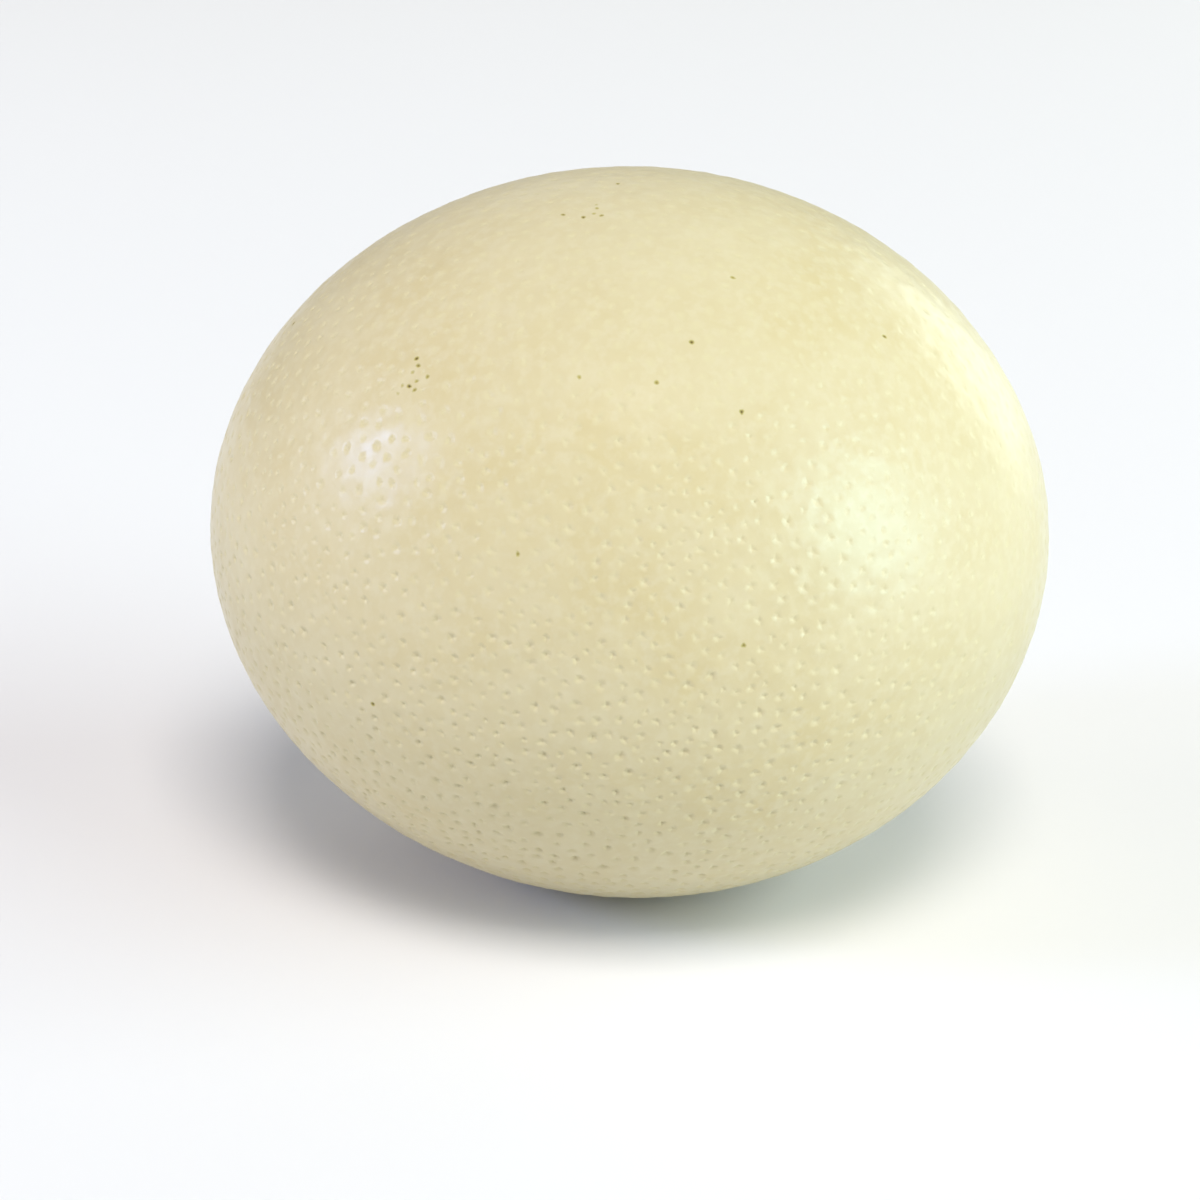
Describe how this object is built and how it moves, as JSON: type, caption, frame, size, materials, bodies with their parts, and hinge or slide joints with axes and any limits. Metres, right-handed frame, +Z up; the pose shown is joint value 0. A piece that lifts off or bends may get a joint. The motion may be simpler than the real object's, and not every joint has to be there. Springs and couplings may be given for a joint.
{
  "type": "ostrich egg",
  "caption": "Whole cream ostrich egg with a glossy, finely pitted shell, lying on its side on a small flat spot.",
  "frame": {"origin": "on the plane of the flat spot, straight below the middle of the egg", "axes": "+X along the egg's long axis towards its slightly fuller end, +Y across it, +Z up from the flat spot"},
  "size_m": [0.148, 0.129, 0.1285],
  "materials": {
    "eggshell": "satin gloss cream shell with fine pores"
  },
  "bodies": {
    "root": {"ostrich_egg": "eggshell"}
  },
  "joints": []
}
